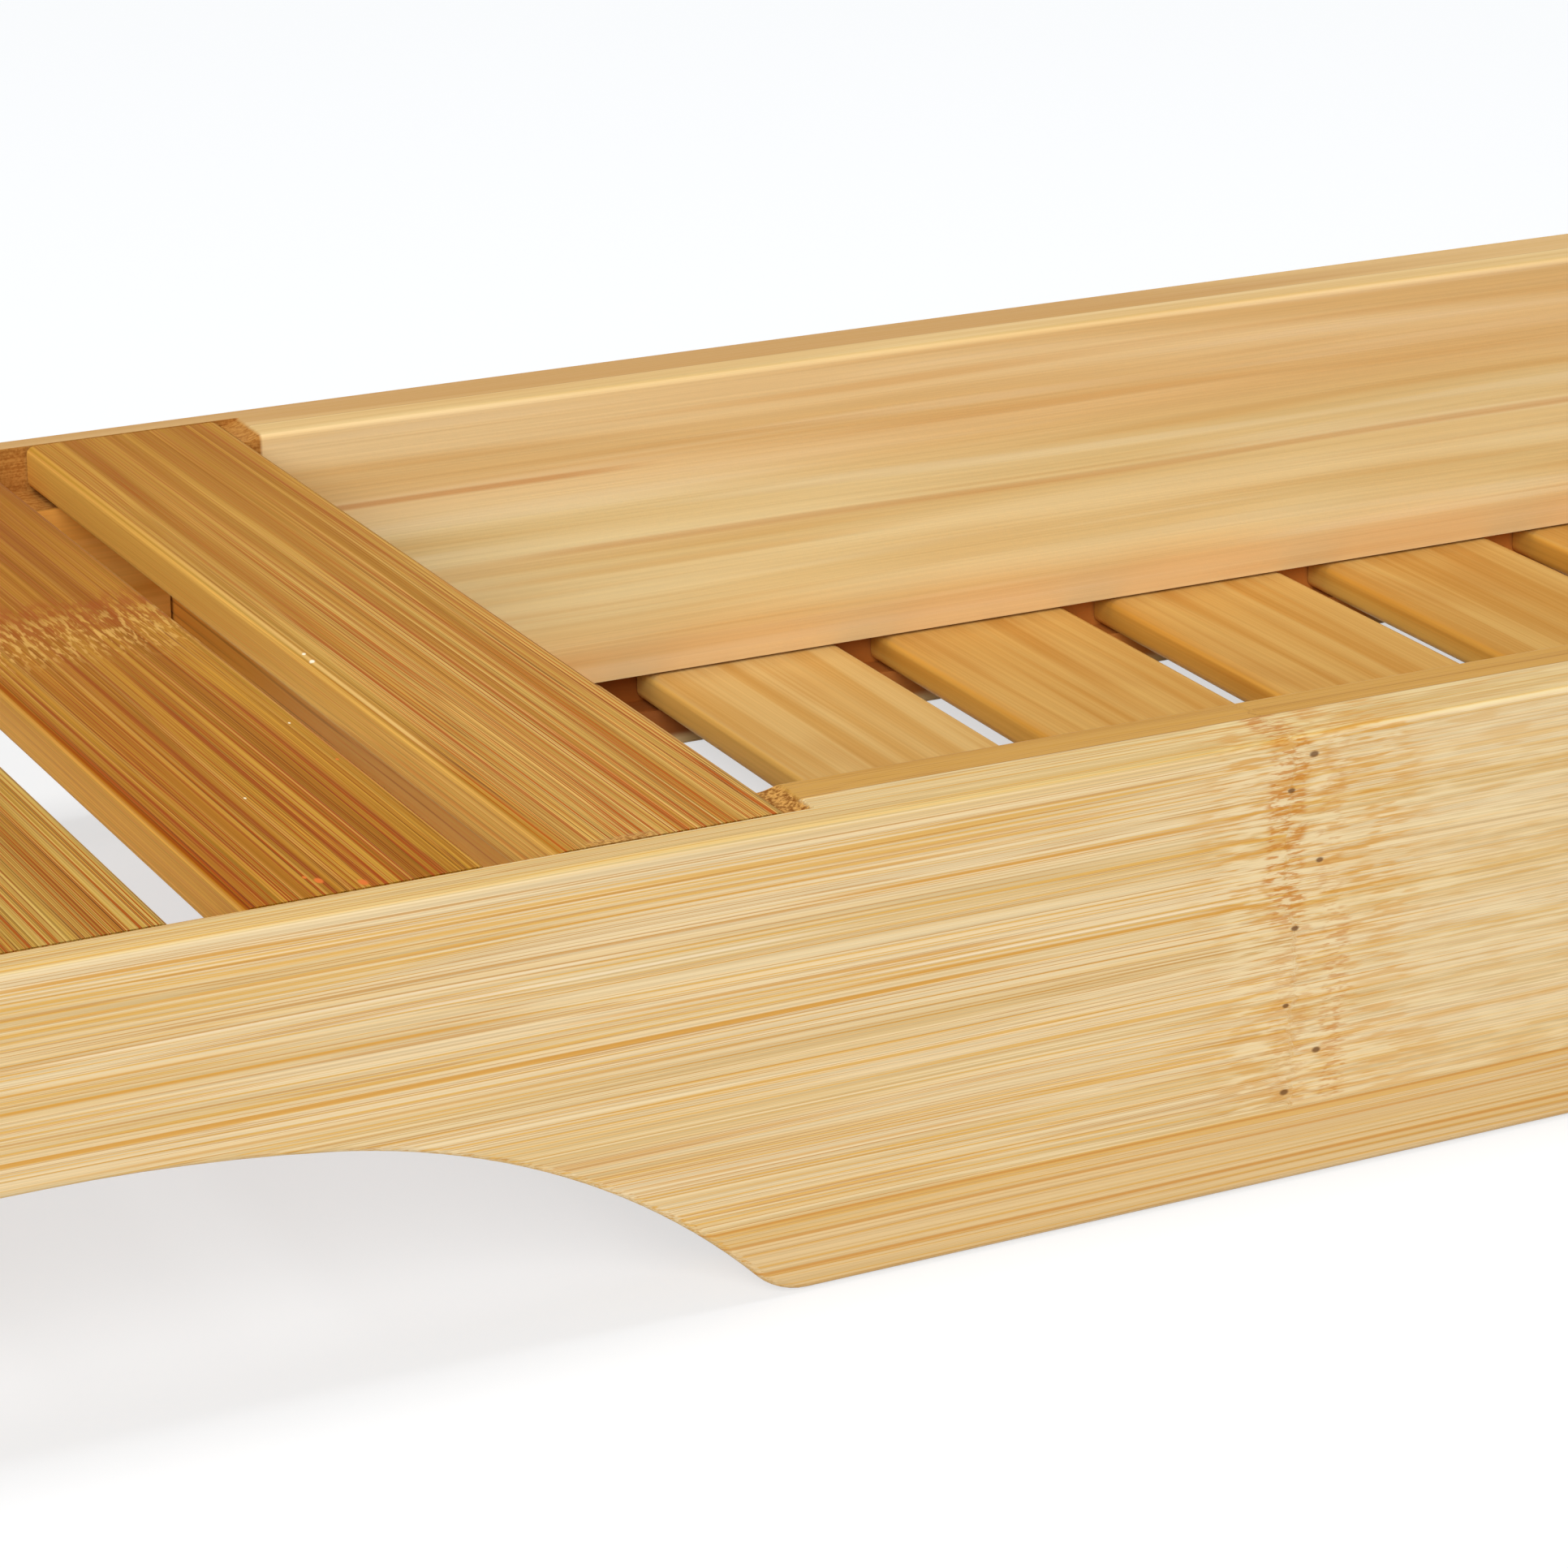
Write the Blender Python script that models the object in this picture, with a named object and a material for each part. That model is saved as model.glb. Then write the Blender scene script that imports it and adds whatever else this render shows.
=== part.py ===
"""Bamboo bath caddy: two rails with arched undersides, slatted arms and a sunk slatted tray.

Metres, +Z up. X runs along the caddy, the near rail is at -Y, and the rails' undersides lie at Z = 0.
"""

import math

import bmesh
import bpy

# Overall sizes
LENGTH = 0.700
DEPTH = 0.150
SEAT_CLEARANCE = 0.0003
CUT_OVERRUN = 0.002

# Rails
RAIL_HEIGHT = 0.0462
RAIL_THICKNESS = 0.011
RAIL_EDGE_RADIUS = 0.0008
RAIL_END_RADIUS = 0.0016
ARM_HEIGHT = 0.0208
LIP_THICKNESS = 0.0035

# Arch under each arm: a flat arc leads into a tighter one, with a round corner between it and the underside
ARCH_LEAD_RADIUS = 0.174
ARCH_LEAD_ANGLE = math.radians(8.5)
ARCH_RADIUS = 0.0747
ARCH_CORNER_SETBACK = 0.0027
ARCH_CORNER_RADIUS = 0.007

# Slats of the arms, the innermost of which is the crossbar
END_SLAT_COUNT = 4
END_SLAT_WIDTH = 0.0230
END_SLAT_GAP = 0.0065
END_SLAT_THICKNESS = 0.0049
END_SLAT_EDGE_RADIUS = 0.0009

# Run-out that the cutter leaves past each crossbar
SCOOP_LENGTH = 0.0024
SCOOP_DEPTH = 0.0007

# Slats of the tray, with a narrower one against the board at each end
TRAY_SLAT_COUNT = 12
TRAY_SLAT_GAP = 0.0062
TRAY_SLAT_THICKNESS = 0.0042
TRAY_SLAT_EDGE_RADIUS = 0.0012
TRAY_SLAT_RISE = 0.0053
TRAY_SLAT_TENON = 0.004
EDGE_SLAT_WIDTH_SHARE = 0.65

# Boards that close the tray's ends, under the crossbars
END_BOARD_THICKNESS = 0.006
END_BOARD_SETBACK = 0.003
END_BOARD_TENON = 0.003
END_BOARD_EDGE_RADIUS = 0.0005
EDGE_SLAT_LAP = 0.001

# Facets
LEAD_STEPS = 6
ARCH_STEPS = 22
CORNER_STEPS = 4
FOOT_STEPS = 6
EDGE_STEPS = 3
SCOOP_STEPS = 6
SHARP_ANGLE = math.radians(32)
ROUND_PROFILE_SHARE = 0.5

# Heights worked out from the sizes above
ARM_UNDERSIDE = RAIL_HEIGHT - ARM_HEIGHT
END_SLAT_UNDERSIDE = RAIL_HEIGHT - END_SLAT_THICKNESS
TRAY_SLAT_TOP = TRAY_SLAT_RISE + TRAY_SLAT_THICKNESS

# Distances from the middle of the depth
RAIL_OUTER_FACE = DEPTH / 2
RAIL_INNER_FACE = RAIL_OUTER_FACE - RAIL_THICKNESS
SEAT_WALL = RAIL_OUTER_FACE - LIP_THICKNESS

# Distances from the middle of the length
END_SLAT_PITCH = END_SLAT_WIDTH + END_SLAT_GAP
CROSSBAR_FACE = LENGTH / 2 - END_SLAT_COUNT * END_SLAT_PITCH - END_SLAT_WIDTH
BOARD_INNER_FACE = CROSSBAR_FACE + END_BOARD_SETBACK
BOARD_OUTER_FACE = BOARD_INNER_FACE + END_BOARD_THICKNESS
TRAY_END = BOARD_INNER_FACE + EDGE_SLAT_LAP

# Tray pattern: the slats share what their gaps leave of the run between the two ends
TRAY_SLAT_RUN = 2 * TRAY_END - (TRAY_SLAT_COUNT + 1) * TRAY_SLAT_GAP
TRAY_SLAT_WIDTH = TRAY_SLAT_RUN / (TRAY_SLAT_COUNT + 2 * EDGE_SLAT_WIDTH_SHARE)
TRAY_PITCH = TRAY_SLAT_WIDTH + TRAY_SLAT_GAP
EDGE_SLAT_WIDTH = TRAY_SLAT_WIDTH * EDGE_SLAT_WIDTH_SHARE


def clear_scene():
    for item in list(bpy.data.objects):
        bpy.data.objects.remove(item, do_unlink=True)


def bamboo(name, colour, roughness):
    material = bpy.data.materials.new(name)
    material.use_nodes = True
    shader = material.node_tree.nodes["Principled BSDF"]
    shader.inputs["Base Color"].default_value = (*colour, 1)
    shader.inputs["Roughness"].default_value = roughness
    shader.inputs["Metallic"].default_value = 0
    return material


def arc(centre_x, centre_z, radius, start, end, steps):
    """Points of an arc in the XZ plane, both ends included."""
    angles = [start + (end - start) * step / steps for step in range(steps + 1)]
    return [(centre_x + radius * math.cos(a), centre_z + radius * math.sin(a)) for a in angles]


def prism(outline, low, high):
    """A closed bmesh, the XZ outline extruded along Y from low to high, and the edges of its two caps."""
    shape = bmesh.new()
    corners = [shape.verts.new((x, low, z)) for x, z in outline]
    cap = shape.faces.new(corners)
    first_loop = list(cap.edges)
    extruded = bmesh.ops.extrude_face_region(shape, geom=[cap], use_keep_orig=True)["geom"]
    moved = [item for item in extruded if isinstance(item, bmesh.types.BMVert)]
    bmesh.ops.translate(shape, vec=(0, high - low, 0), verts=moved)
    far_cap = next(item for item in extruded if isinstance(item, bmesh.types.BMFace))
    bmesh.ops.recalc_face_normals(shape, faces=shape.faces)
    return shape, first_loop + list(far_cap.edges)


def ease(shape, edges, radius):
    bmesh.ops.bevel(
        shape,
        geom=edges,
        offset=radius,
        segments=EDGE_STEPS,
        profile=ROUND_PROFILE_SHARE,
        affect="EDGES",
        clamp_overlap=True,
    )


def place(name, shape, material=None):
    """Turns a bmesh into an object of the scene. Without a material it is a hidden cutter."""
    bmesh.ops.recalc_face_normals(shape, faces=shape.faces)
    mesh = bpy.data.meshes.new(name)
    shape.to_mesh(mesh)
    shape.free()
    item = bpy.data.objects.new(name, mesh)
    bpy.context.scene.collection.objects.link(item)
    if material is None:
        item.hide_render = True
        item.display_type = "WIRE"
    else:
        mesh.materials.append(material)
        mesh.shade_smooth()
        mesh.set_sharp_from_angle(angle=SHARP_ANGLE)
    return item


def cut(target, cutter):
    modifier = target.modifiers.new(cutter.name, "BOOLEAN")
    modifier.operation = "DIFFERENCE"
    modifier.solver = "EXACT"
    modifier.object = cutter


def mirrored(points):
    """The same outline for the other end of the caddy, run the other way round."""
    return [(-x, z) for x, z in reversed(points)]


def arm_outline():
    """Right half of a rail's outline, from the top of its end round to the foot of the arch."""
    end = LENGTH / 2 - RAIL_END_RADIUS
    points = arc(end, RAIL_HEIGHT - RAIL_END_RADIUS, RAIL_END_RADIUS, math.pi / 2, 0, CORNER_STEPS)
    points += arc(end, ARM_UNDERSIDE + RAIL_END_RADIUS, RAIL_END_RADIUS, 0, -math.pi / 2, CORNER_STEPS)

    lead_drop = ARCH_LEAD_RADIUS * (1 - math.cos(ARCH_LEAD_ANGLE))
    lead_run = ARCH_LEAD_RADIUS * math.sin(ARCH_LEAD_ANGLE)
    end_cosine = math.cos(ARCH_LEAD_ANGLE) - (ARM_UNDERSIDE - lead_drop) / ARCH_RADIUS
    end_angle = math.acos(end_cosine)
    main_run = ARCH_RADIUS * (math.sin(end_angle) - math.sin(ARCH_LEAD_ANGLE))
    corner = CROSSBAR_FACE + ARCH_CORNER_SETBACK

    upright = math.pi / 2
    joint = upright + ARCH_LEAD_ANGLE
    lead_centre = (corner + main_run + lead_run, ARM_UNDERSIDE - ARCH_LEAD_RADIUS)
    points += arc(*lead_centre, ARCH_LEAD_RADIUS, upright, joint, LEAD_STEPS)
    main_centre = (corner + ARCH_RADIUS * math.sin(end_angle), -ARCH_RADIUS * math.cos(end_angle))

    # The corner's circle touches the arch on the line through both centres, and the underside below its own
    reach = ARCH_RADIUS + ARCH_CORNER_RADIUS
    foot = math.asin((ARCH_CORNER_RADIUS - main_centre[1]) / reach)
    corner_centre = (main_centre[0] - reach * math.cos(foot), ARCH_CORNER_RADIUS)
    points += arc(*main_centre, ARCH_RADIUS, joint, math.pi - foot, ARCH_STEPS)[1:]
    return points + arc(*corner_centre, ARCH_CORNER_RADIUS, -foot, -upright, FOOT_STEPS)[1:]


def seat_outline():
    """Right-hand seat of the end slats, open at the rail's end, with a scooped run-out at its inner end."""
    outer = LENGTH / 2 + CUT_OVERRUN
    floor = END_SLAT_UNDERSIDE - SEAT_CLEARANCE
    above = RAIL_HEIGHT + CUT_OVERRUN
    inner = CROSSBAR_FACE - SEAT_CLEARANCE
    points = [(outer, above), (outer, floor), (inner, floor)]
    for step in range(SCOOP_STEPS + 1):
        share = step / SCOOP_STEPS
        depth = SCOOP_DEPTH * (1 - share * share)
        points.append((inner - SCOOP_LENGTH * share, RAIL_HEIGHT - depth))
    return points + [(inner - SCOOP_LENGTH, above)]


def rectangle(left, right, bottom, top):
    return [(left, bottom), (right, bottom), (right, top), (left, top)]


def rail(name, side, material):
    """One rail with its seats, groove and slots cut in: side is -1 for the near one, 1 for the far one."""
    half = arm_outline()
    shape, cap_edges = prism(half + mirrored(half), side * RAIL_INNER_FACE, side * RAIL_OUTER_FACE)
    ease(shape, cap_edges, RAIL_EDGE_RADIUS)
    body = place(name, shape, material)

    mouth = side * (RAIL_INNER_FACE - CUT_OVERRUN)
    seat_wall = side * SEAT_WALL
    slot_wall = side * (RAIL_INNER_FACE + END_BOARD_TENON + SEAT_CLEARANCE)
    groove_wall = side * (RAIL_INNER_FACE + TRAY_SLAT_TENON + SEAT_CLEARANCE)

    seat = seat_outline()
    slot_left = BOARD_INNER_FACE - SEAT_CLEARANCE
    slot_right = BOARD_OUTER_FACE + SEAT_CLEARANCE
    slot = rectangle(slot_left, slot_right, TRAY_SLAT_TOP, END_SLAT_UNDERSIDE)
    groove_end = TRAY_END + SEAT_CLEARANCE
    groove_floor = TRAY_SLAT_RISE - SEAT_CLEARANCE
    groove = rectangle(-groove_end, groove_end, groove_floor, TRAY_SLAT_TOP + SEAT_CLEARANCE)
    cuts = [
        ("seat_right", seat, seat_wall),
        ("seat_left", mirrored(seat), seat_wall),
        ("slot_right", slot, slot_wall),
        ("slot_left", mirrored(slot), slot_wall),
        ("groove", groove, groove_wall),
    ]
    for label, outline, wall in cuts:
        cutter, _ = prism(outline, mouth, wall)
        cut(body, place(name + "_" + label, cutter))


def strip(name, section, half_span, edge_radius, material):
    """A straight piece across the caddy, square at its ends, with the section's four long edges eased."""
    shape, _ = prism(section, -half_span, half_span)
    long_edges = [e for e in shape.edges if abs(e.verts[0].co.y - e.verts[1].co.y) > half_span]
    ease(shape, long_edges, edge_radius)
    place(name, shape, material)


def end_slats(side, label, material):
    """The crossbar and the slats of one arm, flush with the rails' tops, counted from the tray outwards."""
    half_span = SEAT_WALL - SEAT_CLEARANCE
    for count in range(END_SLAT_COUNT + 1):
        name = f"end_slat_{label}_{count}" if count else f"crossbar_{label}"
        inner = CROSSBAR_FACE + count * END_SLAT_PITCH
        faces = sorted((side * inner, side * (inner + END_SLAT_WIDTH)))
        section = rectangle(*faces, END_SLAT_UNDERSIDE, RAIL_HEIGHT)
        strip(name, section, half_span, END_SLAT_EDGE_RADIUS, material)


def end_board(side, label, material):
    """Upright board under a crossbar, its ends in the rails' slots, its foot over the tray's edge slat."""
    faces = sorted((side * BOARD_INNER_FACE, side * BOARD_OUTER_FACE))
    section = rectangle(*faces, TRAY_SLAT_TOP + SEAT_CLEARANCE, END_SLAT_UNDERSIDE - SEAT_CLEARANCE)
    half_span = RAIL_INNER_FACE + END_BOARD_TENON
    strip("end_board_" + label, section, half_span, END_BOARD_EDGE_RADIUS, material)


def tray_slats(material):
    half_span = RAIL_INNER_FACE + TRAY_SLAT_TENON
    first = TRAY_SLAT_GAP / 2 - TRAY_SLAT_COUNT * TRAY_PITCH / 2
    pieces = [("tray_edge_slat_left", -TRAY_END, EDGE_SLAT_WIDTH)]
    for count in range(TRAY_SLAT_COUNT):
        pieces.append((f"tray_slat_{count + 1}", first + count * TRAY_PITCH, TRAY_SLAT_WIDTH))
    pieces.append(("tray_edge_slat_right", TRAY_END - EDGE_SLAT_WIDTH, EDGE_SLAT_WIDTH))
    for name, left, width in pieces:
        section = rectangle(left, left + width, TRAY_SLAT_RISE, TRAY_SLAT_TOP)
        strip(name, section, half_span, TRAY_SLAT_EDGE_RADIUS, material)


def build():
    clear_scene()
    rail_bamboo = bamboo("rail_bamboo", (0.753, 0.540, 0.271), 0.42)
    slat_bamboo = bamboo("slat_bamboo", (0.485, 0.205, 0.040), 0.40)
    tray_bamboo = bamboo("tray_bamboo", (0.658, 0.376, 0.114), 0.42)
    board_bamboo = bamboo("board_bamboo", (0.381, 0.178, 0.051), 0.50)

    rail("rail_near", -1, rail_bamboo)
    rail("rail_far", 1, rail_bamboo)
    for side, label in ((-1, "left"), (1, "right")):
        end_slats(side, label, slat_bamboo)
        end_board(side, label, board_bamboo)
    tray_slats(tray_bamboo)


build()
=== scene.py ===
import math

import bmesh
import bpy
from mathutils import Matrix, Vector


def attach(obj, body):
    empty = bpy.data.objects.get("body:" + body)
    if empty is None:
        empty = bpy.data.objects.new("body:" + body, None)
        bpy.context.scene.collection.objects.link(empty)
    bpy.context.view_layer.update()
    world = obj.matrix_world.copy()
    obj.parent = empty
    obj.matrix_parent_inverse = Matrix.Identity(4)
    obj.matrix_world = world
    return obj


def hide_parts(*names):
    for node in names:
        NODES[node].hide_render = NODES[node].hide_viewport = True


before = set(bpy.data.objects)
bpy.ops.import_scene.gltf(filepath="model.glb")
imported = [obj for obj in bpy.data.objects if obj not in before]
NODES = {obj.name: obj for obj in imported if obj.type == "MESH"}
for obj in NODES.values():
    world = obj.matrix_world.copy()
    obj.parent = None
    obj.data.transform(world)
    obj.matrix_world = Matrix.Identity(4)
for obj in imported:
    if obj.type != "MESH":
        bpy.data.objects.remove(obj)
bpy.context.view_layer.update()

MM = 0.001

# The camera: turned from +Y, tilted down and rolled, in degrees, with its place in millimetres
CAMERA_YAW = 27.262
CAMERA_PITCH = 20.292
CAMERA_ROLL = 0.072
CAMERA_SPOT = (-398.29, -437.73, 201.34)
CAMERA_LENS = 112.16
CAMERA_SENSOR = 36

# How far the floor reaches, and how far it lies under the part, in metres
FLOOR_REACH = 4.0
FLOOR_DROP = 0.0002

# How the shown pieces are shaded: edges that turn by less than SHARP_ANGLE look round
WELD_DISTANCE = 2e-6
FLAT_ANGLE = math.radians(0.05)
SHARP_ANGLE = math.radians(40)
BUMP_DISTANCE = 0.00012

# Sizes of the part that the materials follow, in millimetres
CROSSBAR_FACE = 209.0
END_SLAT_PITCH = 29.5
RAIL_TOP = 46.2
SEAT_WALL = 71.5
SEAT_DEPTH = 4.9
SCOOP_LENGTH = 2.4
TRAY_PITCH = 32.17
TRAY_TOP = 9.5
FOOT_STRIP = 7.5
NEAR_SEAM = -68.75
FAR_SEAM = 68.0
CULM_JOINT = 50.2
BOARD_FACE = 218.0

# Pits in the joint of the near rail: height, distance from the crossbar's inner face, width
RAIL_PITS = [
    (44.0, 54.0, 0.42),
    (40.7, 51.6, 0.34),
    (33.1, 55.1, 0.34),
    (26.5, 52.6, 0.36),
    (18.6, 51.9, 0.3),
    (13.3, 55.6, 0.4),
    (9.5, 52.1, 0.4),
]

# Orange marks on the arms' strips, and white painted glints of light on them: distance from the
# crossbar's inner face, place in Y, width
SLAT_SPECKS = [(-44.2, -67.9, 0.5), (-40.9, -70.0, 0.55), (-45.0, -66.6, 0.25), (-31.0, -40.0, 0.2)]
SLAT_GLINTS = [(-22.3, -10.2, 0.22), (-22.4, -12.6, 0.3), (-31.2, -28.6, 0.15), (-42.4, -45.8, 0.16)]


def linear(red, green, blue):
    """A colour given in 0-255 display values, as the linear colour that a socket takes."""
    out = []
    for value in (red, green, blue):
        share = value / 255
        out.append(share / 12.92 if share <= 0.04045 else ((share + 0.055) / 1.055) ** 2.4)
    return (*out, 1.0)


class Graph:
    """Short names for the shader nodes of one material."""

    def __init__(self, name):
        self.material = bpy.data.materials.new(name)
        self.material.use_nodes = True
        self.tree = self.material.node_tree
        self.shader = self.tree.nodes["Principled BSDF"]

    def new(self, kind, **settings):
        node = self.tree.nodes.new("ShaderNode" + kind)
        for key, value in settings.items():
            setattr(node, key, value)
        return node

    def put(self, socket, value):
        if isinstance(value, bpy.types.NodeSocket):
            self.tree.links.new(value, socket)
        elif value is not None:
            socket.default_value = value

    def math(self, operation, a, b=None, c=None):
        node = self.new("Math", operation=operation)
        for socket, value in zip(node.inputs, (a, b, c)):
            self.put(socket, value)
        return node.outputs[0]

    def add(self, a, b):
        return self.math("ADD", a, b)

    def mul(self, a, b):
        return self.math("MULTIPLY", a, b)

    def sub(self, a, b):
        return self.math("SUBTRACT", a, b)

    def most(self, a, b):
        return self.math("MAXIMUM", a, b)

    def size(self, a):
        return self.math("ABSOLUTE", a)

    def vector(self, x, y, z):
        node = self.new("CombineXYZ")
        for socket, value in zip(node.inputs, (x, y, z)):
            self.put(socket, value)
        return node.outputs[0]

    def noise(self, vector, detail=2.0, roughness=0.5):
        node = self.new("TexNoise")
        self.put(node.inputs["Vector"], vector)
        node.inputs["Scale"].default_value = 1.0
        node.inputs["Detail"].default_value = detail
        node.inputs["Roughness"].default_value = roughness
        return node.outputs["Fac"]

    def step(self, value, low, high):
        """0 below low, 1 above high, smooth between. Low above high turns it round."""
        node = self.new("MapRange", interpolation_type="SMOOTHSTEP")
        flip = low > high
        self.put(node.inputs["Value"], value)
        node.inputs["From Min"].default_value = min(low, high)
        node.inputs["From Max"].default_value = max(low, high)
        node.inputs["To Min"].default_value = 1.0 if flip else 0.0
        node.inputs["To Max"].default_value = 0.0 if flip else 1.0
        return node.outputs["Result"]

    def band(self, value, centre, half, soft):
        """1 within half of the centre, fading out over soft."""
        return self.step(self.size(self.sub(value, centre)), half + soft, half)

    def span(self, value, low, high, soft):
        """1 between low and high, fading out over soft inside them."""
        return self.mul(self.step(value, low, low + soft), self.step(value, high, high - soft))

    def mix(self, share, a, b, blend="MIX"):
        node = self.new("Mix", data_type="RGBA", blend_type=blend)
        self.put(node.inputs["Factor"], share)
        self.put(node.inputs[6], a)
        self.put(node.inputs[7], b)
        return node.outputs[2]

    def mixf(self, share, a, b):
        node = self.new("Mix", data_type="FLOAT")
        self.put(node.inputs[0], share)
        self.put(node.inputs[2], a)
        self.put(node.inputs[3], b)
        return node.outputs[0]

    def tinted(self, share, colour, red, green, blue):
        """The colour multiplied channel by channel where share is 1."""
        return self.mix(share, colour, (red, green, blue, 1.0), "MULTIPLY")

    def scaled(self, colour, factor):
        """The colour times a number."""
        node = self.new("VectorMath", operation="SCALE")
        self.put(node.inputs[0], colour)
        self.put(node.inputs["Scale"], factor)
        return node.outputs[0]


def place_camera():
    yaw = math.radians(CAMERA_YAW)
    pitch = math.radians(CAMERA_PITCH)
    roll = math.radians(CAMERA_ROLL)
    level = math.cos(pitch)
    ahead = Vector((math.sin(yaw) * level, math.cos(yaw) * level, -math.sin(pitch)))
    right = Vector((math.cos(yaw), -math.sin(yaw), 0))
    up = right.cross(ahead)
    side = right * math.cos(roll) + up * math.sin(roll)
    top = up * math.cos(roll) - right * math.sin(roll)
    data = bpy.data.cameras.new("camera")
    data.sensor_width = CAMERA_SENSOR
    data.lens = CAMERA_LENS
    data.clip_start = 0.01
    data.clip_end = 50
    camera = bpy.data.objects.new("camera", data)
    bpy.context.scene.collection.objects.link(camera)
    turn = Matrix((side, top, -ahead)).transposed().to_4x4()
    camera.matrix_world = Matrix.Translation(Vector(CAMERA_SPOT) * MM) @ turn
    bpy.context.scene.camera = camera


def softbox(name, spot, target, size, power, mirrored=True):
    data = bpy.data.lights.new(name, "AREA")
    data.shape = "RECTANGLE"
    data.size = size[0]
    data.size_y = size[1]
    data.energy = power
    lamp = bpy.data.objects.new(name, data)
    bpy.context.scene.collection.objects.link(lamp)
    lamp.location = spot
    lamp.rotation_euler = (Vector(target) - Vector(spot)).to_track_quat("-Z", "Y").to_euler()
    lamp.visible_glossy = mirrored


def seen_directly(tree):
    """1 for camera, glossy and transmission rays."""
    path = tree.nodes.new("ShaderNodeLightPath")
    share = path.outputs["Is Camera Ray"]
    for name in ("Is Glossy Ray", "Is Transmission Ray"):
        both = tree.nodes.new("ShaderNodeMath")
        both.operation = "MAXIMUM"
        tree.links.new(share, both.inputs[0])
        tree.links.new(path.outputs[name], both.inputs[1])
        share = both.outputs[0]
    return share


def light_scene():
    world = bpy.data.worlds.new("studio")
    bpy.context.scene.world = world
    world.use_nodes = True
    tree = world.node_tree
    ground = tree.nodes["Background"]
    ground.inputs["Color"].default_value = (1, 1, 1, 1)
    level = tree.nodes.new("ShaderNodeMix")
    level.data_type = "FLOAT"
    level.inputs[2].default_value = 0.25
    level.inputs[3].default_value = 1.0
    tree.links.new(seen_directly(tree), level.inputs[0])
    tree.links.new(level.outputs[0], ground.inputs["Strength"])
    softbox("key", (-1.15, -1.5, 1.05), (-0.1, 0, 0), (1.4, 1.1), 34)
    softbox("top", (-0.1, 0.0, 1.8), (-0.1, 0, 0), (1.6, 0.55), 16)
    softbox("back", (0.7, 2.0, 0.45), (0, 0, 0), (1.4, 0.8), 10, mirrored=False)


def make_floor():
    reach = FLOOR_REACH
    mesh = bpy.data.meshes.new("floor")
    corners = [(-reach, -reach), (reach, -reach), (reach, reach), (-reach, reach)]
    mesh.from_pydata([(x, y, -FLOOR_DROP) for x, y in corners], [], [(0, 1, 2, 3)])
    floor = bpy.data.objects.new("floor", mesh)
    bpy.context.scene.collection.objects.link(floor)
    graph = Graph("floor")
    tree = graph.tree
    tree.nodes.remove(graph.shader)
    plain = graph.new("BsdfDiffuse")
    plain.inputs["Color"].default_value = (0.8, 0.8, 0.8, 1)
    seen = graph.new("BsdfDiffuse")
    seen.inputs["Color"].default_value = (0.358, 0.374, 0.39, 1)
    glow = graph.new("Emission")
    glow.inputs["Color"].default_value = (1, 1, 1, 1)
    glow.inputs["Strength"].default_value = 0.63
    both = graph.new("AddShader")
    tree.links.new(seen.outputs[0], both.inputs[0])
    tree.links.new(glow.outputs[0], both.inputs[1])
    choose = graph.new("MixShader")
    tree.links.new(seen_directly(tree), choose.inputs[0])
    tree.links.new(plain.outputs[0], choose.inputs[1])
    tree.links.new(both.outputs[0], choose.inputs[2])
    output = next(node for node in tree.nodes if node.type == "OUTPUT_MATERIAL")
    tree.links.new(choose.outputs[0], output.inputs["Surface"])
    mesh.materials.append(graph.material)


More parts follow.
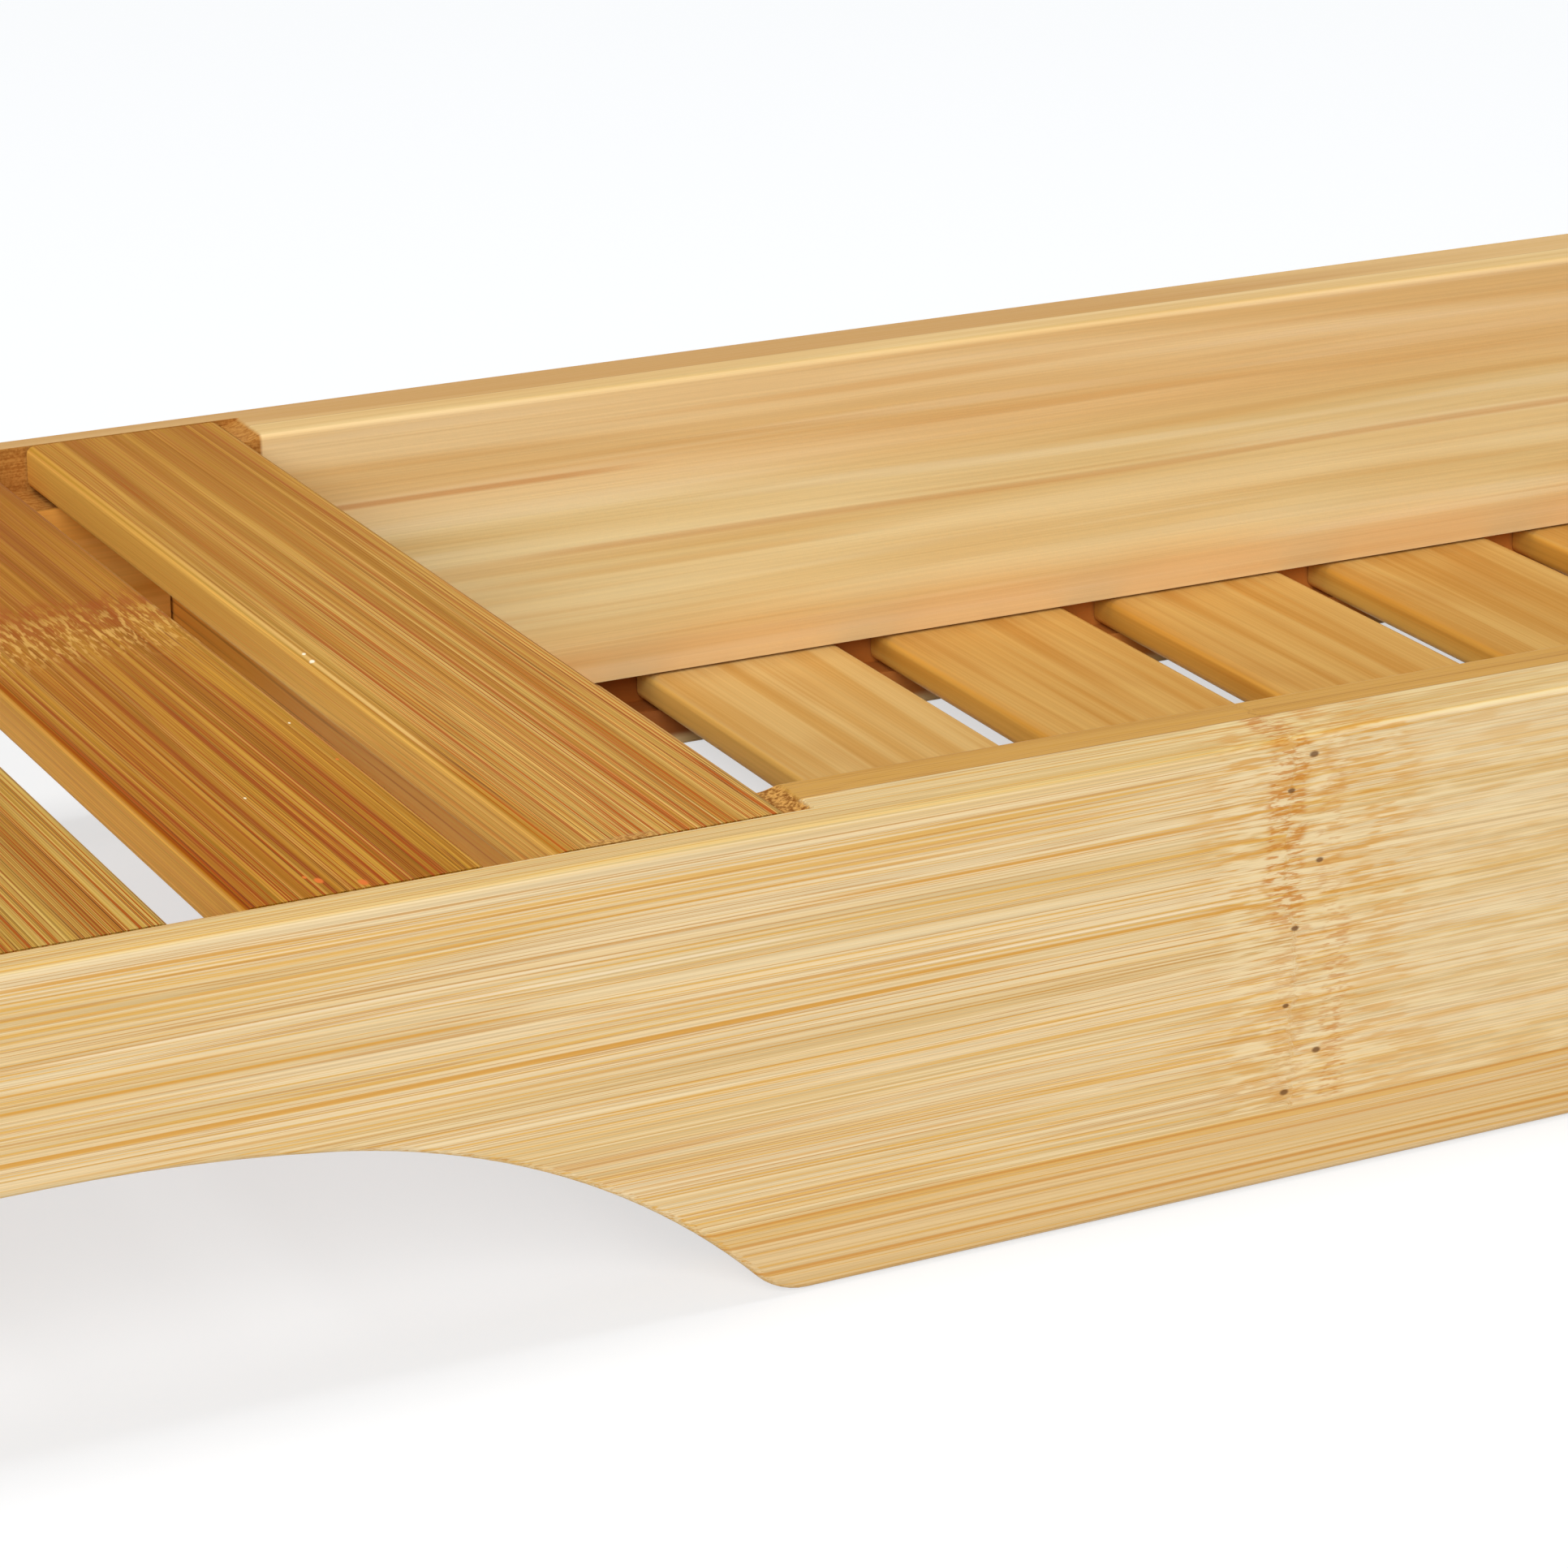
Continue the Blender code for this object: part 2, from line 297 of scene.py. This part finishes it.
class Wood:
    """Bamboo in millimetres: the fibres run along u, and v and w are the two directions across them."""

    def __init__(self, name, grain, seed):
        self.g = g = Graph(name)
        spot = g.new("TexCoord").outputs["Object"]
        parts = g.new("SeparateXYZ")
        g.put(parts.inputs[0], spot)
        self.x, self.y, self.z = [g.mul(part, 1 / MM) for part in parts.outputs]
        facing = g.new("SeparateXYZ")
        g.put(facing.inputs[0], g.new("NewGeometry").outputs["Normal"])
        self.normal = facing.outputs
        self.seed = seed
        if grain == "x":
            self.u, self.v, self.w = self.x, self.z, self.y
            self.end = g.step(g.size(facing.outputs[0]), 0.75, 0.95)
        else:
            self.u, self.v, self.w = self.y, self.x, self.z
            self.end = g.step(g.size(facing.outputs[1]), 0.75, 0.95)

    def field(self, along, across, detail=2.0, roughness=0.5):
        """Noise drawn out along the fibres: one blob is about along by across millimetres."""
        g = self.g
        self.seed += 13.7
        u = g.math("MULTIPLY_ADD", self.u, 1 / along, self.seed)
        v = g.math("MULTIPLY_ADD", self.v, 1 / across, self.seed * 0.37)
        w = g.mul(self.w, 1 / across)
        return g.noise(g.vector(u, v, w), detail, roughness)

    def drawn_out(self, along, across, shift, detail=2.0, roughness=0.5):
        """Noise like field(), shifted along the fibres only."""
        g = self.g
        u = g.math("MULTIPLY_ADD", self.u, 1 / along, shift)
        spot = g.vector(u, g.mul(self.v, 1 / across), g.mul(self.w, 1 / across))
        return g.noise(spot, detail, roughness)

    def sway(self, along, across, reach):
        """Bends the fibres sideways by up to about reach."""
        g = self.g
        self.seed += 5.1
        push = g.mul(g.sub(self.drawn_out(along, across, self.seed, 1.0), 0.5), reach * 2)
        self.v = g.add(self.v, push)
        self.w = g.add(self.w, g.mul(push, 0.6))

    def line(self, v0, start, stop, width, fade=12.0):
        """One long streak at v0 between start and stop along the fibres."""
        g = self.g
        away = g.size(g.sub(self.v, v0))
        across = g.step(away, width, width * 0.25)
        return g.mul(across, g.span(self.u, start - fade, stop + fade, fade * 1.5))

    def spots(self, rows, v, squash):
        """Small ovals drawn out along the fibres, each given as its place in v, in u, and its width."""
        g = self.g
        found = None
        for across, along, width in rows:
            flat = g.vector(g.sub(v, across), g.mul(g.sub(self.u, along), squash), 0.0)
            away = g.new("VectorMath", operation="LENGTH")
            g.put(away.inputs[0], flat)
            one = g.step(away.outputs["Value"], width, width * 0.45)
            found = one if found is None else g.most(found, one)
        return found

    def lines(self, rows):
        """The strongest of several streaks, each a tuple for line() with its strength first."""
        found = None
        for strength, *row in rows:
            one = self.g.mul(self.line(*row), strength)
            found = one if found is None else self.g.most(found, one)
        return found

    def facing_up(self):
        return self.g.step(self.normal[2], 0.6, 0.9)

    def finish(self, colour, roughness, height, strength=0.35, gloss=0.05):
        g = self.g
        shader = g.shader
        shader.inputs["Specular IOR Level"].default_value = gloss
        g.put(shader.inputs["Base Color"], colour)
        g.put(shader.inputs["Roughness"], roughness)
        bump = g.new("Bump")
        bump.inputs["Strength"].default_value = strength
        bump.inputs["Distance"].default_value = BUMP_DISTANCE
        g.put(bump.inputs["Height"], height)
        g.put(shader.inputs["Normal"], bump.outputs["Normal"])
        return g.material


def cut_fibres(wood):
    """Fine flecks for cut or torn fibre."""
    g = wood.g
    return g.noise(g.vector(g.mul(wood.x, 2.2), g.mul(wood.y, 2.6), g.mul(wood.z, 2.6)), 2.0, 0.65)


def end_grain(wood, colour, flecks):
    """Cut fibre ends: darker, with a dot at each bundle."""
    g = wood.g
    tone = g.mixf(g.step(flecks, 0.45, 0.62), 0.86, 0.55)
    return g.mix(wood.end, colour, g.scaled(colour, tone))


def rough_cut(wood, colour, flecks, mask, dark, pale):
    """Torn fibre that a cutter left: short brown flecks."""
    g = wood.g
    torn = g.mix(g.step(flecks, 0.36, 0.64), linear(*dark), linear(*pale))
    return g.mix(mask, colour, torn)


def node_band(wood, place, tall):
    """The joint of a culm across a rail: torn dashes, the frayed streaks beside them, and paler ones.

    place is the distance past the joint's left edge, and tall is 1 where the dashes lie close together.
    """
    g = wood.g
    fine = wood.drawn_out(1.9, 0.33, 3.3, 2.0, 0.6)
    longer = wood.drawn_out(4.5, 0.42, 8.1)
    core = g.mul(g.step(fine, 0.47, 0.6), g.span(place, -0.4, 4.8, 1.0))
    core = g.mul(core, g.mixf(tall, 0.4, 1.0))
    second = g.mul(g.step(fine, 0.49, 0.61), g.span(place, 5.4, 9.2, 1.0))
    second = g.mul(second, g.mixf(tall, 0.7, 0.4))
    frayed = g.mul(g.step(longer, 0.5, 0.62), g.span(place, -11.0, 21.0, 8.0))
    frayed = g.mul(frayed, g.mixf(tall, 0.72, 1.0))
    pale = g.mul(g.step(longer, 0.5, 0.36), g.span(place, -6.5, 11.0, 4.0))
    return g.most(core, second), frayed, pale


def rail_near():
    wood = Wood("rail_near_bamboo", "x", 3.0)
    g = wood.g
    along = g.add(wood.u, CROSSBAR_FACE)
    height = wood.z
    wood.sway(70, 9, 0.5)
    wood.u = along

    # Past the joint of the culm the streaks are other ones, and softer for a while
    crook = g.noise(g.vector(0.0, g.mul(wood.v, 0.9), g.mul(wood.w, 0.9)), 2.0, 0.6)
    place = g.math("MULTIPLY_ADD", crook, 2.4, g.sub(along, CULM_JOINT))
    place = g.sub(place, g.mul(g.step(height, 29.0, 27.0), 1.2))
    above_foot = g.step(height, FOOT_STRIP, FOOT_STRIP + 0.2)
    kept = wood.v
    past = g.mul(g.step(place, 2.2, 2.8), above_foot)
    wood.v = g.math("MULTIPLY_ADD", past, 7.3, wood.v)
    contrast = g.mixf(g.mul(g.span(along, 51.0, 112.0, 20.0), above_foot), 1.0, 0.5)

    tone = wood.field(130, 3.4, 1.0)
    colour = g.mix(g.step(tone, 0.36, 0.64), linear(221, 196, 152), linear(213, 183, 130))
    fine = wood.field(60, 0.13, 1.0, 0.6)
    colour = g.scaled(colour, g.mixf(g.step(fine, 0.3, 0.7), 0.86, 1.08))
    orange = wood.field(260, 0.27, 1.0)
    streak = g.mul(g.step(orange, 0.575, 0.625), contrast)
    colour = g.mix(g.mul(streak, 0.72), colour, linear(212, 161, 70))
    light = g.step(orange, 0.42, 0.35)
    colour = g.mix(g.mul(light, 0.55), colour, linear(228, 208, 166))
    cloud = g.noise(g.vector(g.mul(along, 0.11), g.mul(wood.v, 0.8), g.mul(wood.w, 0.8)), 2.0, 0.55)
    cloudy = g.mul(g.span(along, 50.0, 95.0, 12.0), above_foot)
    paler = g.mul(g.step(cloud, 0.5, 0.66), cloudy)
    colour = g.mix(g.mul(paler, 0.4), colour, linear(232, 212, 168))
    browner = g.mul(g.step(cloud, 0.46, 0.34), cloudy)
    colour = g.mix(g.mul(browner, 0.42), colour, linear(206, 160, 92))
    dark = wood.field(190, 0.13, 1.0)
    streak = g.mul(g.step(dark, 0.585, 0.63), contrast)
    colour = g.mix(g.mul(streak, 0.66), colour, linear(188, 134, 62))
    wood.v = kept

    heroes = [
        (0.85, 44.3, -76, -50, 0.24),
        (0.7, 40.9, -80, 16, 0.17),
        (0.8, 33.0, -78, -32, 0.28),
        (0.7, 34.7, -80, -54, 0.22),
        (0.75, 31.3, -18, 20, 0.22),
        (0.9, 28.6, -80, 18, 0.28),
        (0.55, 26.3, -66, -6, 0.2),
        (0.55, 17.4, -24, 2, 0.2),
        (0.55, 13.8, -14, 20, 0.2),
        (0.85, 38.6, 6, 42, 0.28),
        (0.85, 29.7, 8, 50, 0.26),
        (0.6, 42.1, 6, 38, 0.18),
    ]
    colour = g.mix(wood.lines(heroes), colour, linear(203, 147, 62))
    pales = [
        (0.7, 35.6, -40, -2, 0.2),
        (0.8, 30.5, 10, 46, 0.18),
        (0.6, 37.0, -70, -20, 0.18),
        # The last row is a painted highlight along the rounded top edge, right of the joint
        (0.6, 45.6, 62, 220, 0.3),
    ]
    colour = g.mix(wood.lines(pales), colour, linear(234, 216, 182))

    # The narrow strip glued along the foot of the rail
    foot_lines = [
        (0.9, 7.55, -12, 140, 0.2, 6),
        (0.7, 5.7, -12, 140, 0.22),
        (0.85, 2.5, -10, 140, 0.26),
    ]
    foot = g.step(height, FOOT_STRIP + 0.25, FOOT_STRIP + 0.05)
    colour = g.mix(g.mul(foot, 0.35), colour, linear(203, 163, 99))
    colour = g.mix(wood.lines(foot_lines), colour, linear(196, 139, 63))

    # The joint of the culm
    body = g.mul(g.step(height, FOOT_STRIP, FOOT_STRIP + 1.1), g.step(wood.y, -67.0, -69.0))
    torn, frayed, pale = node_band(wood, place, g.step(height, 25.0, 30.0))
    colour = g.mix(g.mul(g.mul(pale, body), 0.75), colour, linear(228, 206, 161))
    colour = g.mix(g.mul(g.mul(frayed, body), 0.7), colour, linear(204, 148, 66))
    colour = g.mix(g.mul(g.mul(torn, body), 0.8), colour, linear(190, 122, 42))
    pits = g.mul(wood.spots(RAIL_PITS, height, 0.62), g.step(wood.y, -74.0, -74.6))
    colour = g.mix(g.mul(pits, 0.85), colour, linear(106, 70, 40))

    # The inner ply, seen along the top and on the hidden side
    inner = g.step(wood.w, NEAR_SEAM - 0.15, NEAR_SEAM + 0.05)
    ply = g.mix(g.step(tone, 0.4, 0.62), linear(198, 148, 64), linear(181, 129, 46))
    ply = g.mix(g.mul(g.step(dark, 0.55, 0.66), 0.6), ply, linear(158, 102, 30))
    # Painted shade: the upward faces are tinted darker and more golden
    colour = g.tinted(wood.facing_up(), colour, 0.96, 0.93, 0.8)
    # Painted light: the inner ply's side faces are made paler than its top
    ply = g.tinted(1.0, ply, 1.25, 1.38, 1.8)
    ply = g.tinted(wood.facing_up(), ply, 0.74, 0.65, 0.4)
    colour = g.mix(g.mul(inner, 0.92), colour, ply)
    seam = g.band(wood.w, NEAR_SEAM, 0.03, 0.1)
    colour = g.mix(g.mul(seam, 0.5), colour, linear(142, 95, 44))

    # Painted shade on the rounded edge along the top, toning down the highlight it catches
    edge = g.span(wood.normal[2], 0.3, 0.96, 0.2)
    edge = g.mul(edge, g.step(wood.w, -74.0, -74.2))
    colour = g.tinted(edge, colour, 0.96, 0.96, 0.86)

    seat = seat_mask(wood)
    flecks = cut_fibres(wood)
    colour = rough_cut(wood, colour, flecks, seat, (134, 82, 30), (206, 154, 80))
    colour = end_grain(wood, colour, flecks)

    rough = g.mixf(seat, g.mixf(g.step(fine, 0.3, 0.7), 0.5, 0.4), 0.75)
    relief = g.sub(g.mul(fine, 0.5), g.mul(pits, 2.0))
    relief = g.add(relief, g.mul(seat, flecks))
    return wood.finish(colour, rough, relief)


def seat_mask(wood):
    """The walls and floor that the cutter left in a rail's top, and its scooped run-out."""
    g = wood.g
    inside = g.step(g.size(wood.y), SEAT_WALL + 0.12, SEAT_WALL + 0.02)
    scoop_end = CROSSBAR_FACE - SCOOP_LENGTH
    scoop = g.step(g.size(wood.x), scoop_end - 0.25, scoop_end + 0.25)
    seat_floor = RAIL_TOP - SEAT_DEPTH
    return g.mul(g.mul(inside, scoop), g.step(wood.z, seat_floor - 0.6, seat_floor - 0.3))


def rail_far():
    wood = Wood("rail_far_bamboo", "x", 41.0)
    g = wood.g
    wood.sway(90, 12, 0.8)
    tone = wood.field(130, 5.0, 1.0)
    colour = g.mix(g.step(tone, 0.36, 0.66), linear(241, 212, 158), linear(229, 193, 132))
    pinkish = g.mul(g.step(wood.field(110, 7.0, 1.0), 0.45, 0.7), 0.3)
    colour = g.mix(pinkish, colour, linear(234, 194, 132))
    fine = wood.field(45, 0.3, 1.0, 0.6)
    colour = g.scaled(colour, g.mixf(g.step(fine, 0.28, 0.72), 0.96, 1.03))
    orange = wood.field(110, 2.0, 1.0)
    colour = g.mix(g.mul(g.step(orange, 0.54, 0.74), 0.42), colour, linear(216, 164, 92))
    colour = g.mix(g.mul(g.step(orange, 0.46, 0.3), 0.45), colour, linear(244, 218, 172))
    dark = wood.field(150, 1.1, 1.0)
    colour = g.mix(g.mul(g.step(dark, 0.6, 0.76), 0.24), colour, linear(204, 150, 80))
    wood.u = g.add(wood.x, CROSSBAR_FACE)
    rows = [(0.6, 36.0, 2, 44, 0.5), (0.4, 27.0, 40, 220, 0.6)]
    colour = g.mix(wood.lines(rows), colour, linear(204, 140, 76))

    # A browner strip just above the tray
    strip = g.band(wood.z, 11.8, 1.4, 1.6)
    colour = g.mix(g.mul(strip, 0.45), colour, linear(228, 186, 130))

    # The face is palest between the tray and its upper quarter, and the wall of each arm has painted
    # shade, browner and darker
    pale = g.span(wood.z, 12.5, 36.0, 6.0)
    colour = g.tinted(pale, colour, 1.0, 1.12, 1.2)
    arm = g.mul(g.step(g.size(wood.x), 213.0, 218.0), g.step(wood.y, 65.0, 64.4))
    colour = g.tinted(arm, colour, 1.1, 0.72, 0.3)
    # Painted shade: the upward faces are tinted darker and more golden
    colour = g.tinted(wood.facing_up(), colour, 0.84, 0.81, 0.7)
    outer = g.step(wood.w, FAR_SEAM - 0.1, FAR_SEAM + 0.1)
    ply = g.mix(g.step(tone, 0.4, 0.62), linear(208, 168, 106), linear(190, 144, 80))
    # Painted light: the outer ply's side faces are made paler than its top
    ply = g.tinted(g.sub(1.0, wood.facing_up()), ply, 1.15, 1.2, 1.3)
    colour = g.mix(g.mul(outer, 0.9), colour, ply)
    seam = g.band(wood.w, FAR_SEAM, 0.03, 0.1)
    colour = g.mix(g.mul(seam, 0.35), colour, linear(150, 100, 46))

    # Painted shade in the groove and on the wall under it, dark at the ends of the tray's gaps
    low = g.mul(g.step(wood.z, TRAY_TOP + 0.4, TRAY_TOP - 0.1), g.step(wood.z, 0.8, 2.0))
    under = g.mul(low, g.step(wood.y, 72.0, 70.0))
    shade = g.mix(g.step(g.size(wood.x), 70.0, 190.0), linear(204, 124, 48), linear(140, 66, 16))
    colour = g.mix(g.mul(under, 0.94), colour, shade)

    # The seat and its run-out are brown, with softer flecks than on the near rail
    seat = seat_mask(wood)
    flecks = cut_fibres(wood)
    soft_flecks = g.mixf(0.45, flecks, fine)
    colour = rough_cut(wood, colour, soft_flecks, seat, (158, 100, 40), (192, 136, 66))
    colour = end_grain(wood, colour, flecks)
    rough = g.mixf(seat, g.mixf(g.step(fine, 0.3, 0.7), 0.5, 0.4), 0.7)
    relief = g.add(g.mul(fine, 0.5), g.mul(g.mul(seat, flecks), 0.6))
    return wood.finish(colour, rough, relief)


def end_slats():
    wood = Wood("end_slat_bamboo", "y", 17.0)
    g = wood.g
    across = g.add(wood.x, CROSSBAR_FACE)
    from_tray = g.sub(g.size(wood.x), CROSSBAR_FACE - 1.0)
    index = g.math("FLOOR", g.math("DIVIDE", from_tray, END_SLAT_PITCH))
    chance = g.new("TexWhiteNoise", noise_dimensions="2D")
    g.put(chance.inputs["Vector"], g.vector(g.add(index, 0.5), g.math("SIGN", wood.x), 0.0))
    chance = chance.outputs["Value"]
    wood.sway(90, 10, 0.5)

    # The grain is stronger at the near ends of the strips
    near = g.step(wood.y, 60.0, -75.0)
    tone = wood.field(150, 2.6, 1.0)
    colour = g.mix(g.step(tone, 0.36, 0.64), linear(209, 158, 66), linear(186, 128, 38))
    colour = g.scaled(colour, g.mixf(chance, 0.96, 1.04))
    fine = wood.field(60, 0.13, 1.0, 0.6)
    grain = g.mixf(g.step(fine, 0.3, 0.7), 0.67, 1.18)
    colour = g.scaled(colour, g.mixf(g.mixf(near, 0.35, 1.0), 0.95, grain))
    light = wood.field(130, 0.5, 1.0)
    streak = g.mul(g.step(light, 0.56, 0.68), g.mixf(near, 0.4, 0.7))
    colour = g.mix(streak, colour, linear(226, 180, 88))
    streak = g.mul(g.step(light, 0.44, 0.34), g.mixf(near, 0.3, 0.5))
    colour = g.mix(streak, colour, linear(172, 108, 28))
    red = wood.field(230, 0.17, 1.0)
    streak = g.mul(g.step(red, 0.555, 0.6), g.mixf(near, 0.4, 1.0))
    colour = g.mix(streak, colour, linear(176, 80, 8))
    deep = wood.field(140, 0.11, 1.0)
    streak = g.mul(g.step(deep, 0.6, 0.64), g.mixf(near, 0.15, 0.9))
    colour = g.mix(streak, colour, linear(118, 48, 4))

    wood.v = across
    heroes = [
        (0.85, -19.3, -71, 2, 0.28),
        (0.6, -14.1, -71, 60, 0.17),
        (0.9, -10.3, -71, 10, 0.28),
        (0.6, -6.3, -60, 30, 0.18),
        (0.6, -2.4, -30, 72, 0.26),
        (0.8, -52.0, -71, 0, 0.28),
        (0.8, -50.2, -71, -10, 0.24),
        (0.7, -43.9, -71, 0, 0.34),
        (0.9, -40.2, -71, -18, 0.4),
        (0.8, -33.6, -71, -20, 0.3),
    ]
    top = wood.facing_up()
    colour = g.mix(g.mul(g.mul(wood.lines(heroes), top), 0.9), colour, linear(164, 72, 8))
    pales = [(0.75, -22.4, -40, 72, 0.3), (0.6, -45.5, -71, -10, 0.4), (0.6, -38.2, -71, 10, 0.4)]
    colour = g.mix(g.mul(wood.lines(pales), top), colour, linear(228, 180, 92))

    # Each arm's first slat is the darkest, the next is in between, and all darken to the far side
    outward = g.sub(g.size(wood.x), CROSSBAR_FACE)
    first = g.span(outward, END_SLAT_PITCH - 1, END_SLAT_PITCH * 2 - 3, 0.5)
    second = g.span(outward, END_SLAT_PITCH * 2 - 3, END_SLAT_PITCH * 3 - 3, 0.5)
    colour = g.tinted(1.0, colour, 1.0, 1.11, 1.58)
    colour = g.tinted(first, colour, 0.765, 0.615, 0.21)
    pale_grain = g.mul(first, g.step(light, 0.48, 0.64))
    colour = g.tinted(pale_grain, colour, 1.0, 1.0, 1.6)
    colour = g.tinted(second, colour, 0.85, 0.85, 0.7)
    colour = g.tinted(g.step(wood.y, -40.0, 75.0), colour, 0.8, 0.63, 0.28)

    # A joint of the culm across each arm's first slat: brown on its far side, with pale frayed flecks
    blob = g.noise(g.vector(g.mul(across, 1.9), g.mul(wood.y, 0.33), 1.0), 2.0, 0.6)
    brown = g.mul(g.mul(g.span(wood.y, 3.0, 20.0, 6.0), first), g.step(blob, 0.56, 0.44))
    frayed = g.mul(g.mul(g.span(wood.y, -5.5, 15.0, 8.0), first), g.step(blob, 0.49, 0.62))
    colour = g.mix(g.mul(brown, 0.6), colour, linear(154, 72, 12))
    colour = g.mix(g.mul(frayed, 0.58), colour, linear(226, 178, 92))

    # Painted light: the sides of the strips are made paler than their tops
    side = g.step(g.size(wood.normal[0]), 0.6, 0.9)
    colour = g.mix(g.mul(side, 0.42), colour, linear(250, 194, 100))
    colour = g.tinted(side, colour, 1.16, 1.2, 1.2)

    # The torn sliver where the crossbar's end meets the rail's lip
    flecks = cut_fibres(wood)
    sliver = g.mul(g.span(across, -20.9, -11.6, 2.4), g.step(wood.y, -69.6, -70.6))
    colour = rough_cut(wood, colour, flecks, g.mul(sliver, 0.85), (146, 94, 36), (208, 158, 84))

    specks = wood.spots(SLAT_SPECKS, across, 0.55)
    colour = g.mix(specks, colour, linear(214, 112, 44))
    # Painted highlights: small white glints of light on the strips
    glints = wood.spots(SLAT_GLINTS, across, 0.55)
    colour = g.mix(glints, colour, linear(250, 236, 206))

    colour = end_grain(wood, colour, flecks)
    rough = g.mixf(g.step(fine, 0.3, 0.7), 0.46, 0.36)
    relief = g.add(g.mul(fine, 0.6), g.mul(g.mul(sliver, flecks), 2.5))
    return wood.finish(colour, rough, relief, 0.5, 0.012)


def tray_slats():
    wood = Wood("tray_slat_bamboo", "y", 29.0)
    g = wood.g
    index = g.math("FLOOR", g.math("DIVIDE", g.add(wood.x, 6 * TRAY_PITCH), TRAY_PITCH))
    chance = g.new("TexWhiteNoise", noise_dimensions="1D")
    g.put(chance.inputs["W"], g.add(index, 4.5))
    wood.sway(60, 8, 0.8)
    tone = wood.field(100, 4.0, 1.0)
    colour = g.mix(g.step(tone, 0.35, 0.65), linear(208, 170, 108), linear(193, 145, 78))
    colour = g.mix(g.mul(chance.outputs["Value"], 0.4), colour, linear(197, 143, 72))
    patches = wood.field(28, 9.0, 1.0)
    colour = g.mix(g.mul(g.step(patches, 0.5, 0.72), 0.35), colour, linear(184, 130, 64))
    fine = wood.field(50, 0.3, 1.0, 0.6)
    colour = g.scaled(colour, g.mixf(g.step(fine, 0.28, 0.72), 0.955, 1.035))
    streak = wood.field(110, 1.1, 1.0)
    colour = g.mix(g.mul(g.step(streak, 0.54, 0.74), 0.4), colour, linear(182, 126, 52))
    colour = g.mix(g.mul(g.step(streak, 0.46, 0.28), 0.35), colour, linear(214, 176, 112))

    # The slats toward the tray's ends are paler
    gap = TRAY_PITCH * 4
    outer = g.step(g.size(wood.x), gap - 1.7, gap + 1.3)
    colour = g.tinted(1.0, colour, 0.96, 0.92, 0.76)
    colour = g.tinted(outer, colour, 1.08, 1.22, 1.6)
    # Painted light: the sides of the slats are made brighter and warmer than their tops
    side = g.step(g.size(wood.normal[0]), 0.6, 0.9)
    colour = g.tinted(side, colour, 1.22, 1.15, 0.8)
    colour = end_grain(wood, colour, cut_fibres(wood))
    rough = g.mixf(g.step(fine, 0.3, 0.7), 0.5, 0.42)
    return wood.finish(colour, rough, g.mul(fine, 0.5))


def end_boards():
    wood = Wood("end_board_bamboo", "y", 53.0)
    g = wood.g
    wood.sway(60, 8, 0.6)
    tone = wood.field(90, 3.0, 1.0)
    colour = g.mix(g.step(tone, 0.35, 0.65), linear(184, 133, 66), linear(170, 118, 51))

    # Painted light: the face under the arm is made much paler where the slot beside the crossbar shows
    # it, but not at the near end
    face = g.step(g.size(wood.x), BOARD_FACE - 2, BOARD_FACE - 1)
    shown = g.mul(face, g.span(wood.z, 18.0, 38.0, 5.0))
    shown = g.mul(shown, g.step(wood.y, -64.0, -26.0))
    colour = g.tinted(shown, colour, 2.6, 2.7, 2.35)
    fine = wood.field(50, 0.2, 1.0, 0.6)
    colour = g.scaled(colour, g.mixf(g.step(fine, 0.28, 0.72), 0.92, 1.05))
    streak = wood.field(110, 0.5, 1.0)
    colour = g.mix(g.mul(g.step(streak, 0.55, 0.68), 0.45), colour, linear(156, 100, 44))
    colour = end_grain(wood, colour, cut_fibres(wood))
    rough = g.mixf(g.step(fine, 0.3, 0.7), 0.5, 0.42)
    return wood.finish(colour, rough, g.mul(fine, 0.5))


def smooth_copy(name, node, material):
    """The node's own shape with its small faces welded and shaded as round edges."""
    shape = bmesh.new()
    shape.from_mesh(node.data)
    bmesh.ops.remove_doubles(shape, verts=shape.verts, dist=WELD_DISTANCE)
    bmesh.ops.dissolve_limit(shape, angle_limit=FLAT_ANGLE, verts=shape.verts, edges=shape.edges)
    for face in shape.faces:
        face.smooth = True
    for edge in shape.edges:
        edge.smooth = edge.calc_face_angle(0) < SHARP_ANGLE
    mesh = bpy.data.meshes.new(name)
    shape.to_mesh(mesh)
    shape.free()
    if "custom_normal" in mesh.attributes:
        mesh.attributes.remove(mesh.attributes["custom_normal"])
    mesh.materials.clear()
    mesh.materials.append(material)
    piece = bpy.data.objects.new(name, mesh)
    bpy.context.scene.collection.objects.link(piece)
    even = piece.modifiers.new("even", "WEIGHTED_NORMAL")
    even.keep_sharp = True
    even.weight = 100
    return piece


def dress():
    near = rail_near()
    far = rail_far()
    slats = end_slats()
    boards = end_boards()
    tray = tray_slats()
    looks = {
        "rail_near": near,
        "rail_far": far,
        "crossbar": slats,
        "end_slat": slats,
        "end_board": boards,
        "tray": tray,
    }
    for name, node in NODES.items():
        material = next(value for start, value in looks.items() if name.startswith(start))
        piece = smooth_copy(name + "_finished", node, material)
        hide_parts(name)
        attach(piece, "root")


bpy.context.scene.view_settings.view_transform = "Standard"
place_camera()
light_scene()
make_floor()
dress()
